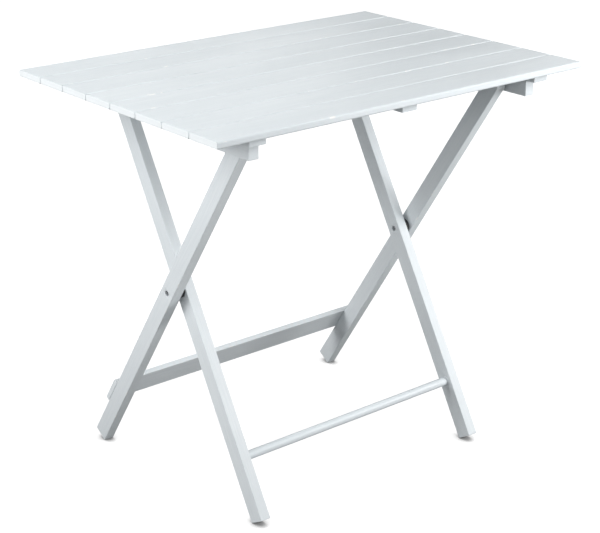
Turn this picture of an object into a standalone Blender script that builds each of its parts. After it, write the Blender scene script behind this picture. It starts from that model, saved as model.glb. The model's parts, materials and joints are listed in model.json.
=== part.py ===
"""Folding picnic table: a slatted top on two crossing leg frames.

World frame: metres, +X along the slats, -Y the front edge, +Z up, with the origin on the
floor under the middle of the top. Three groups of pieces hang on three empties:

    outer_frame  two legs, hinged to the battens at the front, with their feet at the back
    inner_frame  two legs, bolted to the outer ones where they cross, with their feet in front
    tabletop     slats, cleats, battens and the catches that drop over the inner frame's top bar

In each leg frame's own coordinates +Z runs up the legs and Z = 0 is the crossing bolt.
"""
import math

import bmesh
import bpy
from mathutils import Matrix, Vector

# ------------------------------------------------------------------ driving dimensions
# Top
TOP_LENGTH = 0.800          # along the slats
TOP_HEIGHT = 0.736          # floor to the upper face of the slats
SLAT_COUNT = 8
SLAT_WIDTH = 0.07165
SLAT_GAP = 0.0009           # a hair line: the slats all but touch
SLAT_THICKNESS = 0.012
SLAT_ROUNDING = 0.0035      # radius of a slat's two long upper arrises
CLEAT_WIDTH = 0.033
CLEAT_THICKNESS = 0.014
CLEAT_SETBACK = 0.016       # front or back edge of the top to a cleat's end
BATTEN_SETBACK = 0.035      # front or back edge of the top to a batten's end
BATTEN_SCREW_SHARE = 0.44   # batten's middle to its end screws, as a share of its length

# Bars that legs and battens are sawn from
BAR_THICKNESS = 0.020       # along X
BATTEN_WIDTH = 0.028
LEG_WIDTH = 0.032

# Leg frames
FRAME_WIDTH = 0.580         # over the outer faces of the outer legs
PIVOT_GAP = 0.009           # outer leg to inner leg
HINGE_GAP = 0.0065          # outer leg to batten
HINGE_INSET = 0.094         # front edge of the top to the hinge axis
TOP_BAR_INSET = 0.0875      # back edge of the top to the top bar's axis
OUTER_FOOT_INSET = 0.0235   # back edge of the top to where the outer legs' centre line meets the floor
INNER_FOOT_INSET = 0.0935   # front edge of the top to where the inner legs' centre line meets the floor
STRETCHER_WIDTH = 0.055
STRETCHER_THICKNESS = 0.010
STRETCHER_RISE = 0.117      # end of an outer foot to the stretcher's centre line, along the leg
STRETCHER_SCREW_RISE = 0.01375  # stretcher's centre line to its screws
RUNG_DIAMETER = 0.0165      # lower rung and top bar are the same dowel
RUNG_RISE = 0.1125          # end of an inner foot to the rung's axis, along the leg
SOCKET_DEPTH = 0.012        # how far a dowel goes into each leg

# Catches under the top
CATCH_THICKNESS = 0.022     # along X
CATCH_CLEARANCE = 0.0004    # catch to top bar, all round the bar
CATCH_LIP = 0.008           # catch below the top bar's axis
CATCH_EDGE = 0.010          # catch beyond its screws
CATCH_REACH = 0.024         # top bar's axis to each screw, before the screw is kept off a slat's edge
CATCH_TO_LEG = 0.012        # catch to inner leg
CATCH_SLOPE = math.radians(135)  # round the top bar from straight back to where the sloping wall starts

# Bolts, screws and spacers
BOLT_DIAMETER = 0.005
HEAD_DIAMETER = 0.0094
HEAD_THICKNESS = 0.002
SOCKET_DIAMETER = 0.004     # driver recess in a bolt's head
SOCKET_RECESS = 0.0012
COUNTERBORE_DEPTH = 0.004
SLEEVE_DIAMETER = 0.0074    # sleeve nut of a crossing bolt
SPACER_DIAMETER = 0.028
HINGE_SPACER_DIAMETER = 0.018
NUT_THICKNESS = 0.004
SCREW_HEAD_DIAMETER = 0.0076
SCREW_HEAD_DEPTH = 0.0028
SCREW_HEAD_RIM = 0.0004     # upright part of a countersunk head
SCREW_DIAMETER = 0.0038
SCREW_EDGE = 0.012          # least distance of a screw from a slat's edge

# Fits
GAP = 0.0003                # between pieces that touch
ROUND_STEPS = 24            # flats round a bolt or a dowel
LEG_END_STEPS = 10          # flats round the half-round end of a leg
ARRIS_STEPS = 4             # flats round a slat's rounded arris

# ------------------------------------------------------------------ worked-out places
TOP_DEPTH = SLAT_COUNT * SLAT_WIDTH + (SLAT_COUNT - 1) * SLAT_GAP
SLAT_UNDERSIDE = TOP_HEIGHT - SLAT_THICKNESS
CLEAT_UNDERSIDE = SLAT_UNDERSIDE - CLEAT_THICKNESS
BATTEN_UNDERSIDE = CLEAT_UNDERSIDE - BATTEN_WIDTH

OUTER_LEG_X = (FRAME_WIDTH - BAR_THICKNESS) / 2
INNER_LEG_X = OUTER_LEG_X - BAR_THICKNESS - PIVOT_GAP
BATTEN_X = OUTER_LEG_X + BAR_THICKNESS + HINGE_GAP
BATTEN_INNER_X = BATTEN_X - BAR_THICKNESS / 2

HINGE = Vector((0, HINGE_INSET - TOP_DEPTH / 2, BATTEN_UNDERSIDE + BATTEN_WIDTH / 2))
TOP_BAR = Vector((0, TOP_DEPTH / 2 - TOP_BAR_INSET, HINGE.z))
OUTER_FOOT = Vector((0, TOP_DEPTH / 2 - OUTER_FOOT_INSET, 0))
INNER_FOOT = Vector((0, INNER_FOOT_INSET - TOP_DEPTH / 2, 0))

OUTER_LEAN = math.atan2(OUTER_FOOT.y - HINGE.y, HINGE.z)
INNER_LEAN = math.atan2(TOP_BAR.y - INNER_FOOT.y, TOP_BAR.z)
PIVOT_HEIGHT = (OUTER_FOOT.y - INNER_FOOT.y) / (math.tan(OUTER_LEAN) + math.tan(INNER_LEAN))
PIVOT = Vector((0, OUTER_FOOT.y - PIVOT_HEIGHT * math.tan(OUTER_LEAN), PIVOT_HEIGHT))

SIDES = {"left": -1, "right": 1}


def foot_length(lean):
    """Crossing bolt to a square-cut foot whose lower arris is on the floor, along the leg."""
    return (PIVOT.z - LEG_WIDTH / 2 * math.sin(lean)) / math.cos(lean)


# ------------------------------------------------------------------ materials
def paint(name, colour, roughness, metallic=0.0):
    """A Principled material with one plain colour."""
    material = bpy.data.materials.new(name)
    material.use_nodes = True
    shader = material.node_tree.nodes["Principled BSDF"]
    shader.inputs["Base Color"].default_value = (*colour, 1.0)
    shader.inputs["Roughness"].default_value = roughness
    shader.inputs["Metallic"].default_value = metallic
    return material


def finish(piece):
    """Each piece's own material, chosen by what the piece is made of."""
    kind = piece.name
    if "spacer" in kind:
        return paint(kind + "_nylon", (0.02, 0.02, 0.022), 0.55)
    if "bolt" in kind or "nut" in kind:
        return paint(kind + "_steel", (0.42, 0.43, 0.44), 0.35, 1.0)
    if "screw" in kind:
        return paint(kind + "_zinc", (0.60, 0.60, 0.58), 0.40, 1.0)
    return paint(kind + "_lacquer", (0.76, 0.80, 0.83), 0.42)


# ------------------------------------------------------------------ solids
def clear_scene():
    for item in list(bpy.data.objects):
        bpy.data.objects.remove(item, do_unlink=True)


def group(name, place, tilt=0.0):
    """An empty on a joint's axis, turned about X."""
    empty = bpy.data.objects.new(name, None)
    empty.location = place
    empty.rotation_euler = (tilt, 0, 0)
    bpy.context.collection.objects.link(empty)
    return empty


def add(name, bm, parent, place=(0, 0, 0), smooth=False):
    """Make one named piece from a bmesh given in the piece's own coordinates."""
    bmesh.ops.recalc_face_normals(bm, faces=bm.faces)
    mesh = bpy.data.meshes.new(name)
    bm.to_mesh(mesh)
    bm.free()
    if smooth:
        mesh.shade_smooth()
        mesh.set_sharp_from_angle(angle=math.radians(35))
    piece = bpy.data.objects.new(name, mesh)
    piece.parent = parent
    piece.location = place
    bpy.context.collection.objects.link(piece)
    mesh.materials.append(finish(piece))
    return piece


def block(size_x, size_y, size_z):
    """A box centred on the origin."""
    bm = bmesh.new()
    bmesh.ops.create_cube(bm, size=1.0)
    bmesh.ops.scale(bm, vec=(size_x, size_y, size_z), verts=bm.verts)
    return bm


def prism(outline, thickness):
    """A closed (y, z) outline extruded along X, centred on X = 0."""
    bm = bmesh.new()
    face = bm.faces.new([bm.verts.new((-thickness / 2, y, z)) for y, z in outline])
    extruded = bmesh.ops.extrude_face_region(bm, geom=[face])
    moved = [item for item in extruded["geom"] if isinstance(item, bmesh.types.BMVert)]
    bmesh.ops.translate(bm, vec=(thickness, 0, 0), verts=moved)
    return bm


def turned(profile, axis="X"):
    """A solid of revolution: (place along the axis, radius) pairs from one end to the other."""
    bm = bmesh.new()
    rings = []
    for along, radius in profile:
        angles = [2 * math.pi * step / ROUND_STEPS for step in range(ROUND_STEPS)]
        rings.append([bm.verts.new((along, radius * math.cos(a), radius * math.sin(a))) for a in angles])
    for ring, following in zip(rings, rings[1:]):
        for step in range(ROUND_STEPS):
            after = (step + 1) % ROUND_STEPS
            bm.faces.new((ring[step], ring[after], following[after], following[step]))
    bm.faces.new(rings[0])
    bm.faces.new(rings[-1])
    turns = {"X": Matrix.Identity(3), "Y": Matrix.Rotation(math.pi / 2, 3, "Z"),
             "Z": Matrix.Rotation(-math.pi / 2, 3, "Y")}
    bmesh.ops.rotate(bm, matrix=turns[axis], verts=bm.verts)
    return bm


def pipe(outer_diameter, inner_diameter, length):
    """A ring of square section about X, centred on X = 0."""
    bm = bmesh.new()
    rings = []
    for along, radius in ((-length / 2, inner_diameter / 2), (-length / 2, outer_diameter / 2),
                          (length / 2, outer_diameter / 2), (length / 2, inner_diameter / 2)):
        angles = [2 * math.pi * step / ROUND_STEPS for step in range(ROUND_STEPS)]
        rings.append([bm.verts.new((along, radius * math.cos(a), radius * math.sin(a))) for a in angles])
    for ring, following in zip(rings, rings[1:] + rings[:1]):
        for step in range(ROUND_STEPS):
            after = (step + 1) % ROUND_STEPS
            bm.faces.new((ring[step], ring[after], following[after], following[step]))
    return bm


def cut(piece, bm, place):
    """Take a bmesh shape, placed in the piece's parent's coordinates, out of a piece."""
    cutter = add("cutter", bm, piece.parent, place)
    cutter.hide_render = True
    cutter.display_type = "WIRE"
    boolean = piece.modifiers.new("cut", "BOOLEAN")
    boolean.operation = "DIFFERENCE"
    boolean.solver = "EXACT"
    boolean.object = cutter
    bpy.context.view_layer.update()
    evaluated = piece.evaluated_get(bpy.context.evaluated_depsgraph_get())
    carved = bpy.data.meshes.new_from_object(evaluated)
    piece.modifiers.clear()
    piece.data = carved
    bpy.data.objects.remove(cutter, do_unlink=True)


def bore(piece, place, diameter, start, end, axis="X"):
    """A round hole in a piece, from start to end along an axis through place."""
    cut(piece, turned([(start, diameter / 2), (end, diameter / 2)], axis), place)


def screw_profile(length, sign, spare=0.0):
    """Countersunk screw whose flat head is at 0 and whose shank runs towards sign."""
    head = SCREW_HEAD_DIAMETER / 2 + spare
    shank = SCREW_DIAMETER / 2 + spare
    return [(-sign * spare, head), (sign * SCREW_HEAD_RIM, head), (sign * SCREW_HEAD_DEPTH, shank),
            (sign * (length + spare), shank)]


def screw(name, parent, place, axis, sign, length, into):
    """A countersunk screw, its head just under the surface at place, and its hole in each piece."""
    for piece in into:
        cut(piece, turned(screw_profile(length, sign, GAP), axis), place)
    sunk = Vector({"X": (1, 0, 0), "Y": (0, 1, 0), "Z": (0, 0, 1)}[axis]) * sign * GAP
    return add(name, turned(screw_profile(length - 2 * GAP, sign), axis), parent, Vector(place) + sunk, True)


# ------------------------------------------------------------------ leg frames
def leg_outline(foot, end):
    """Side view of a leg: square-cut foot at -foot, half-round end centred on Z = end."""
    half = LEG_WIDTH / 2
    arc = [math.pi * step / LEG_END_STEPS for step in range(LEG_END_STEPS + 1)]
    return [(-half, -foot), (half, -foot)] + [(half * math.cos(a), end + half * math.sin(a)) for a in arc]


def make_outer_frame(frame):
    """Outer legs, the stretcher on their back faces, and their screws."""
    foot = foot_length(OUTER_LEAN)
    end = (HINGE.z - PIVOT.z) / math.cos(OUTER_LEAN)
    legs = {}
    for side, sign in SIDES.items():
        legs[side] = add("outer_leg_" + side, prism(leg_outline(foot, end), BAR_THICKNESS), frame,
                         (sign * OUTER_LEG_X, 0, 0))
        bore(legs[side], (sign * OUTER_LEG_X, 0, 0), BOLT_DIAMETER + 2 * GAP, -BAR_THICKNESS, BAR_THICKNESS)
        bore(legs[side], (sign * OUTER_LEG_X, 0, end), BOLT_DIAMETER + 2 * GAP, -BAR_THICKNESS, BAR_THICKNESS)
        outer_face = sign * BAR_THICKNESS / 2
        bore(legs[side], (sign * OUTER_LEG_X, 0, 0), HEAD_DIAMETER + 2 * GAP,
             outer_face - sign * COUNTERBORE_DEPTH, outer_face + sign * COUNTERBORE_DEPTH)

    middle = LEG_WIDTH / 2 + GAP + STRETCHER_THICKNESS / 2
    height = STRETCHER_RISE - foot
    stretcher = add("stretcher", block(FRAME_WIDTH, STRETCHER_THICKNESS, STRETCHER_WIDTH), frame,
                    (0, middle, height))
    back_face = middle + STRETCHER_THICKNESS / 2
    for side, sign in SIDES.items():
        for level, rise in (("lower", -STRETCHER_SCREW_RISE), ("upper", STRETCHER_SCREW_RISE)):
            screw(f"stretcher_screw_{side}_{level}", frame, (sign * OUTER_LEG_X, back_face, height + rise),
                  "Y", -1, STRETCHER_THICKNESS + LEG_WIDTH / 2, [stretcher, legs[side]])
    return legs


def make_inner_frame(frame):
    """Inner legs with the lower rung and the top bar let into them."""
    foot = foot_length(INNER_LEAN)
    end = (TOP_BAR.z - PIVOT.z) / math.cos(INNER_LEAN)
    levels = {"lower_rung": RUNG_RISE - foot, "top_bar": end}
    inner_face = INNER_LEG_X - BAR_THICKNESS / 2
    legs = {}
    for side, sign in SIDES.items():
        legs[side] = add("inner_leg_" + side, prism(leg_outline(foot, end), BAR_THICKNESS), frame,
                         (sign * INNER_LEG_X, 0, 0))
        for level in levels.values():
            bore(legs[side], (0, 0, level), RUNG_DIAMETER + 2 * GAP, sign * (inner_face - SOCKET_DEPTH),
                 sign * (inner_face + SOCKET_DEPTH + GAP))
        bore(legs[side], (sign * INNER_LEG_X, 0, 0), SLEEVE_DIAMETER + 2 * GAP, -BAR_THICKNESS, BAR_THICKNESS)
        bore(legs[side], (sign * inner_face, 0, 0), HEAD_DIAMETER + 2 * GAP,
             -sign * COUNTERBORE_DEPTH, sign * COUNTERBORE_DEPTH)
    reach = inner_face + SOCKET_DEPTH
    for name, level in levels.items():
        add(name, turned([(-reach, RUNG_DIAMETER / 2), (reach, RUNG_DIAMETER / 2)]), frame, (0, 0, level), True)
    return legs


def head_bolt(name, parent, place, sign, length):
    """A bolt that points towards sign along X, with its round head's outer face at X = 0."""
    head, shank, driver = HEAD_DIAMETER / 2, BOLT_DIAMETER / 2, SOCKET_DIAMETER / 2
    profile = [(sign * SOCKET_RECESS, driver), (0, driver), (0, head), (sign * HEAD_THICKNESS, head),
               (sign * HEAD_THICKNESS, shank), (sign * length, shank)]
    return add(name, turned(profile), parent, place, True)


def make_pivots(outer, inner):
    """Crossing bolts from the outer legs' faces, spacers, and sleeve nuts from the inner legs' faces."""
    outer_face = OUTER_LEG_X + BAR_THICKNESS / 2
    inner_face = INNER_LEG_X - BAR_THICKNESS / 2
    head_place = outer_face - COUNTERBORE_DEPTH + HEAD_THICKNESS + GAP
    nut_place = inner_face + COUNTERBORE_DEPTH - HEAD_THICKNESS - GAP
    sleeve_end = INNER_LEG_X + BAR_THICKNESS / 2 - GAP
    for side, sign in SIDES.items():
        head_bolt("pivot_bolt_" + side, outer, (sign * head_place, 0, 0), -sign,
                  head_place - nut_place - HEAD_THICKNESS - 2 * GAP)
        spacer_x = sign * (OUTER_LEG_X - BAR_THICKNESS / 2 - PIVOT_GAP / 2)
        add("pivot_spacer_" + side, pipe(SPACER_DIAMETER, BOLT_DIAMETER + 2 * GAP, PIVOT_GAP - 2 * GAP),
            outer, (spacer_x, 0, 0), True)
        head, sleeve = HEAD_DIAMETER / 2, SLEEVE_DIAMETER / 2
        profile = [(0, head), (sign * HEAD_THICKNESS, head), (sign * HEAD_THICKNESS, sleeve),
                   (sign * (sleeve_end - nut_place), sleeve)]
        nut = add("pivot_sleeve_nut_" + side, turned(profile), inner, (sign * nut_place, 0, 0), True)
        depth = (-sign * GAP, sign * SOCKET_RECESS)
        bore(nut, (sign * nut_place, 0, 0), SOCKET_DIAMETER, *depth)
        bore(nut, (sign * nut_place, 0, 0), BOLT_DIAMETER + 2 * GAP, sign * HEAD_THICKNESS,
             sign * (sleeve_end - nut_place + GAP))


# ------------------------------------------------------------------ top
def slat_middle(index):
    """Y of a slat's centre line, counted from 0 at the front edge."""
    return -TOP_DEPTH / 2 + SLAT_WIDTH / 2 + index * (SLAT_WIDTH + SLAT_GAP)


def under_slat(y):
    """The slat above a place, and the place moved clear of that slat's edges."""
    index = round((y + TOP_DEPTH / 2 - SLAT_WIDTH / 2) / (SLAT_WIDTH + SLAT_GAP))
    index = min(max(index, 0), SLAT_COUNT - 1)
    room = SLAT_WIDTH / 2 - SCREW_EDGE
    return index, min(max(y, slat_middle(index) - room), slat_middle(index) + room)


def slat_outline():
    """End view of a slat: square below, its two upper arrises rounded."""
    half, lift = SLAT_WIDTH / 2, SLAT_THICKNESS / 2
    quarter = [math.pi / 2 * step / ARRIS_STEPS for step in range(ARRIS_STEPS + 1)]
    rear = [(half + SLAT_ROUNDING * (math.cos(a) - 1), lift + SLAT_ROUNDING * (math.sin(a) - 1)) for a in quarter]
    return [(-half, -lift), (half, -lift)] + rear + [(-y, z) for y, z in reversed(rear)]


def make_battens(top):
    """Cleats across the slats, and the battens screwed up into the outer two."""
    cleat_length = TOP_DEPTH - 2 * CLEAT_SETBACK
    cleat_middle = CLEAT_UNDERSIDE + (CLEAT_THICKNESS - GAP) / 2 - HINGE.z
    cleat_x = BATTEN_INNER_X + CLEAT_WIDTH / 2
    places = {"left": -cleat_x, "middle": 0.0, "right": cleat_x}
    cleats = {}
    for name, x in places.items():
        cleats[name] = add("cleat_" + name, block(CLEAT_WIDTH, cleat_length, CLEAT_THICKNESS - GAP), top,
                           (x, -HINGE.y, cleat_middle))
    length = TOP_DEPTH - 2 * BATTEN_SETBACK
    screw_length = BATTEN_WIDTH + CLEAT_THICKNESS / 2
    for side, sign in SIDES.items():
        batten = add("batten_" + side, block(BAR_THICKNESS, length, BATTEN_WIDTH - GAP), top,
                     (sign * BATTEN_X, -HINGE.y, -GAP / 2))
        bore(batten, (sign * BATTEN_X, 0, 0), BOLT_DIAMETER + 2 * GAP, -BAR_THICKNESS, BAR_THICKNESS)
        for where, share in (("front", -BATTEN_SCREW_SHARE), ("middle", 0.0), ("rear", BATTEN_SCREW_SHARE)):
            screw(f"batten_screw_{side}_{where}", top,
                  (sign * BATTEN_X, -HINGE.y + share * length, BATTEN_UNDERSIDE - HINGE.z), "Z", 1,
                  screw_length, [batten, cleats[side]])


def catch_outline(front, rear):
    """Side view of a catch about the top bar's axis: a notch open below, with a sloping front wall."""
    top = SLAT_UNDERSIDE - GAP - TOP_BAR.z
    radius = RUNG_DIAMETER / 2 + CATCH_CLEARANCE
    arc = [CATCH_SLOPE * step / LEG_END_STEPS for step in range(LEG_END_STEPS + 1)]
    notch = [(radius * math.cos(a), radius * math.sin(a)) for a in arc]
    slope_foot = notch[-1][0] - (notch[-1][1] + CATCH_LIP)
    return ([(front, top), (front, -CATCH_LIP), (slope_foot, -CATCH_LIP)] + notch[::-1]
            + [(radius, -CATCH_LIP), (rear, -CATCH_LIP), (rear, top)])


def make_top(top):
    """Slats, and the catches that hold them down over the inner frame's top bar."""
    slats = [add(f"slat_{index + 1}", prism(slat_outline(), TOP_LENGTH), top,
                 (0, slat_middle(index) - HINGE.y, TOP_HEIGHT - SLAT_THICKNESS / 2 - HINGE.z))
             for index in range(SLAT_COUNT)]
    make_battens(top)

    screws = {"front": under_slat(TOP_BAR.y - CATCH_REACH), "rear": under_slat(TOP_BAR.y + CATCH_REACH)}
    outline = catch_outline(screws["front"][1] - CATCH_EDGE - TOP_BAR.y,
                            screws["rear"][1] + CATCH_EDGE - TOP_BAR.y)
    catch_x = INNER_LEG_X - BAR_THICKNESS / 2 - CATCH_TO_LEG - CATCH_THICKNESS / 2
    catch_drop = TOP_BAR.z - CATCH_LIP - HINGE.z
    length = SLAT_UNDERSIDE - TOP_BAR.z + CATCH_LIP + SLAT_THICKNESS / 2
    for side, sign in SIDES.items():
        catch = add("bar_catch_" + side, prism(outline, CATCH_THICKNESS), top,
                    (sign * catch_x, TOP_BAR.y - HINGE.y, TOP_BAR.z - HINGE.z))
        for where, (index, y) in screws.items():
            screw(f"catch_screw_{side}_{where}", top, (sign * catch_x, y - HINGE.y, catch_drop), "Z", 1,
                  length, [catch, slats[index]])


def make_hinges(frame):
    """Hinge bolts through battens and outer legs, with a spacer and a nut each."""
    end = (HINGE.z - PIVOT.z) / math.cos(OUTER_LEAN)
    head_place = BATTEN_X + BAR_THICKNESS / 2 + GAP + HEAD_THICKNESS
    nut_face = OUTER_LEG_X - BAR_THICKNESS / 2 - GAP
    for side, sign in SIDES.items():
        head_bolt("hinge_bolt_" + side, frame, (sign * head_place, 0, end), -sign,
                  head_place - nut_face + NUT_THICKNESS + GAP)
        add("hinge_spacer_" + side, pipe(HINGE_SPACER_DIAMETER, BOLT_DIAMETER + 2 * GAP, HINGE_GAP - 2 * GAP),
            frame, (sign * (OUTER_LEG_X + BAR_THICKNESS / 2 + HINGE_GAP / 2), 0, end), True)
        add("hinge_nut_" + side, pipe(HEAD_DIAMETER, BOLT_DIAMETER + 2 * GAP, NUT_THICKNESS), frame,
            (sign * (nut_face - NUT_THICKNESS / 2), 0, end), True)


def main():
    clear_scene()
    outer = group("outer_frame", PIVOT, OUTER_LEAN)
    inner = group("inner_frame", PIVOT, -INNER_LEAN)
    top = group("tabletop", HINGE)
    make_outer_frame(outer)
    make_inner_frame(inner)
    make_pivots(outer, inner)
    make_top(top)
    make_hinges(outer)
    bpy.context.view_layer.update()


main()
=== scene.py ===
# %% [markdown]
# # A folding picnic table in painted wood
#
# This notebook dresses a folding table for a studio picture. The frame that it loads holds the
# real sizes and the joints: every board, leg and bolt as a plain solid. Here each of them gets
# the shape a joiner leaves (eased arrises, sawn ends, turned dowels, sunk screws) and the finish
# it has on the real object, a thin pale blue-white lacquer over softwood.

import json
import math

import bpy
import numpy as np
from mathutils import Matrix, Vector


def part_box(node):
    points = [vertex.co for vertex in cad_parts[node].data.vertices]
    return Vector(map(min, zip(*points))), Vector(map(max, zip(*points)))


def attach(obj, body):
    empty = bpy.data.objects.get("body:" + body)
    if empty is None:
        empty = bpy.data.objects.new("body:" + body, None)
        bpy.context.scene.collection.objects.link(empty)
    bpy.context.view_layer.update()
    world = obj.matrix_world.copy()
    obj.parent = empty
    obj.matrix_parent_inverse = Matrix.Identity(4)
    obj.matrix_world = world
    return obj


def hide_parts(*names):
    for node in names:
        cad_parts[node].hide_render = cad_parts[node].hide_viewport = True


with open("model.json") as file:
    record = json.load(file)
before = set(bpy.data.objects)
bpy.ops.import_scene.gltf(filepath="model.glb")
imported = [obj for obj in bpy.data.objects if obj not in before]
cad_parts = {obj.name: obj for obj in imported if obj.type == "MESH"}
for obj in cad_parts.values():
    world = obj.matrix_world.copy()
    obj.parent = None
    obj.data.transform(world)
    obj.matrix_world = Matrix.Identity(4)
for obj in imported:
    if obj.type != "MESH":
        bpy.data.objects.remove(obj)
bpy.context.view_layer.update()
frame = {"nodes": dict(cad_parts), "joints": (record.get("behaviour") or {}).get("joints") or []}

# %% [markdown]
# ## The camera
#
# The picture is taken with a short telephoto lens, to the left of the table and above it, so the
# top shows as a long lozenge and the four legs stay apart. The lens is slightly shifted instead
# of tilted further. A shift slides the picture over the film and keeps the perspective, which is
# how a product photographer frames a table without bending its legs.

# %% Camera
VIEW_AZIMUTH, VIEW_ELEVATION = math.radians(-39.39), math.radians(19.66)
VIEW_DISTANCE = 2.799
LOOK_AT = np.array([0.0, 0.0, 0.4258])
FOCAL_LENGTH, LENS_SHIFT = 92.28, (-0.0052, -0.0572)    # millimetres, and shares of the film's width

towards_camera = np.array([math.sin(VIEW_AZIMUTH) * math.cos(VIEW_ELEVATION),
                           -math.cos(VIEW_AZIMUTH) * math.cos(VIEW_ELEVATION),
                           math.sin(VIEW_ELEVATION)])
camera = bpy.data.objects.new("camera", bpy.data.cameras.new("camera"))
camera.location = LOOK_AT + VIEW_DISTANCE * towards_camera
camera.rotation_euler = (math.pi / 2 - VIEW_ELEVATION, 0.0, VIEW_AZIMUTH)
camera.data.lens = FOCAL_LENGTH
camera.data.shift_x, camera.data.shift_y = LENS_SHIFT
bpy.context.collection.objects.link(camera)
bpy.context.scene.camera = camera
print("camera at", [round(value, 3) for value in camera.location])

# %% [markdown]
# ## From arrays to meshes
#
# Every piece below is a surface of two parameters: stations along a piece, and points round each
# station. Numpy works out the whole grid at once. A first helper joins each ring of points to the
# next with quads. A second one puts the arrays into a mesh and hangs it on the body that it moves
# with. It also stores marks on the points for the finishes to read: where a point lies in the
# timber, how close it is to an arris, whether it is on a sawn end, and a tone for the piece.

# %% Grid to mesh
SHARP_ANGLE = math.radians(38)


def ring_quads(stations, points, closed=False):
    """Quads between ring k and ring k+1: corners (k, j), (k, j+1), (k+1, j+1), (k+1, j). j goes
    round, and k too where the profile is closed."""
    k, j = np.meshgrid(np.arange(stations - (not closed)), np.arange(points), indexing="ij")
    around, onward = (j + 1) % points, (k + 1) % stations
    return np.stack([k * points + j, k * points + around, onward * points + around, onward * points + j],
                    axis=-1).reshape(-1, 4)


def first_and_last(stations, points):
    """The two flat caps: the first ring backwards and the last ring forwards."""
    ring = np.arange(points)
    return [ring[::-1].tolist(), (ring + (stations - 1) * points).tolist()]


def make_piece(name, vertices, faces, body, slot, stands_for, **marks):
    """A piece at the origin with its place in its mesh. A mark is a number or a vector for each point."""
    mesh = bpy.data.meshes.new(name)
    mesh.from_pydata(vertices.tolist(), [], faces)
    for mark, values in marks.items():
        values = np.asarray(values, dtype=np.float32)
        kind, key = ("FLOAT_VECTOR", "vector") if values.ndim == 2 else ("FLOAT", "value")
        mesh.attributes.new(mark, kind, "POINT").data.foreach_set(key, values.ravel())
    mesh.shade_smooth()
    mesh.set_sharp_from_angle(angle=SHARP_ANGLE)
    piece = bpy.data.objects.new(name, mesh)
    bpy.context.collection.objects.link(piece)
    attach(piece, body)
    if stands_for:
        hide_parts(*stands_for)
    return piece


def box_of(node):
    """Lowest corner, highest corner and middle of a solid in the frame, as arrays."""
    low, high = (np.array(corner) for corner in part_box(node))
    return low, high, (low + high) / 2


def named(*starts):
    """The frame's solids whose names begin with one of the words, in order."""
    return sorted(name for name in frame["nodes"] if name.startswith(starts))


# %% [markdown]
# ## Timber marks
#
# All bars come from planks, and no two planks look alike. Each piece therefore takes its grain
# from another place in one endless block of wood, and its tone from the multiples of the golden
# ratio, which never bunch up and give the same result on every run.

# %% Marks for a wooden piece
GOLDEN = 0.618034
PLANK_SHIFT = np.array([0.83, 0.031, 0.047])
ALONG_FIRST = [2, 0, 1]                                  # from (through, across, along)
planks_cut = 0


def timber_marks(local, arris, end):
    """wood = (along, through, across) + piece number * a fixed shift, and tone = the fraction of
    piece number * golden ratio."""
    global planks_cut
    planks_cut += 1
    return {"wood": local[:, ALONG_FIRST] + planks_cut * PLANK_SHIFT, "arris": arris, "end": end,
            "tone": np.full(len(local), planks_cut * GOLDEN % 1.0)}


# %% [markdown]
# ## A sawn and sanded bar
#
# Slats, cleats, battens, legs and the stretcher are sawn bars whose arrises were broken with
# sandpaper. A Bevel modifier could round a box. Here the rounding is part of the formula, so the
# same lines also tell the finish exactly where each arris is. The section is a rounded
# rectangle. It stays the same along the bar, and draws in by the same radius near a sawn end.

# %% The section and the ends
ARC_STEPS = 4
CORNER_POINTS = ARC_STEPS + 3                            # the arc's points and a guard on each side
GUARD, GUARD_SHARE = 0.0006, 0.3                         # a guard's distance, and its largest share of a flat


def rounded_rectangle(half_through, half_across, radius):
    """Section at each station. Every corner is a quarter circle: its centre is (half - radius) out,
    and its points are radius * (cos, sin) from there. A guard point before and after each arc keeps
    the flats flat under smooth shading."""
    corner = np.repeat(np.arange(4), CORNER_POINTS)
    step = np.tile(np.clip(np.arange(-1, ARC_STEPS + 2), 0, ARC_STEPS), 4)
    guard = np.tile(np.r_[-1, np.zeros(ARC_STEPS + 1), 1], 4)
    angle = (corner + step / ARC_STEPS) * math.pi / 2
    side_through, side_across = np.array([1, -1, -1, 1])[corner], np.array([1, 1, -1, -1])[corner]
    half_through, half_across, radius = (values[:, None] for values in (half_through, half_across, radius))
    slack = np.minimum(GUARD, GUARD_SHARE * (np.minimum(half_through, half_across) - radius))
    through = side_through * (half_through - radius) + radius * np.cos(angle) - guard * slack * np.sin(angle)
    across = side_across * (half_across - radius) + radius * np.sin(angle) + guard * slack * np.cos(angle)
    return np.stack([through, across], axis=-1), (guard == 0).astype(float)


def sawn_end(at, direction, radius):
    """Stations round an end's arris: along = end + radius * (sin(t) - 1), drawn in by
    radius * (1 - cos(t)), and then the end's own guard ring."""
    turn = np.linspace(0, math.pi / 2, ARC_STEPS + 1)
    return (np.r_[at + direction * radius * (np.sin(turn) - 1), at],
            np.r_[radius * (1 - np.cos(turn)), radius + GUARD])


def basis_of(along, through):
    """Right-handed rows: through the thickness, across the width, along the length."""
    along, through = np.asarray(along, float), np.asarray(through, float)
    return np.stack([through, np.cross(along, through), along])


UP_X, UP_Y, UP_Z = np.eye(3)
print("a bar's section has", 4 * CORNER_POINTS, "points, and a sawn end", ARC_STEPS + 2, "rings")

# %% [markdown]
# ## Holes in a flat
#
# Screws and bolts are sunk into these bars. A Boolean would cut the holes, but it leaves long
# thin triangles that shade badly, and a hole is just as easy to build in. One quad of the flat is
# left out, four panels run from its corners to a circle, and more circles go down as rim, wall
# and floor. A hole is written as its flat, its middle, and a list of (depth, radius) circles.

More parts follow.
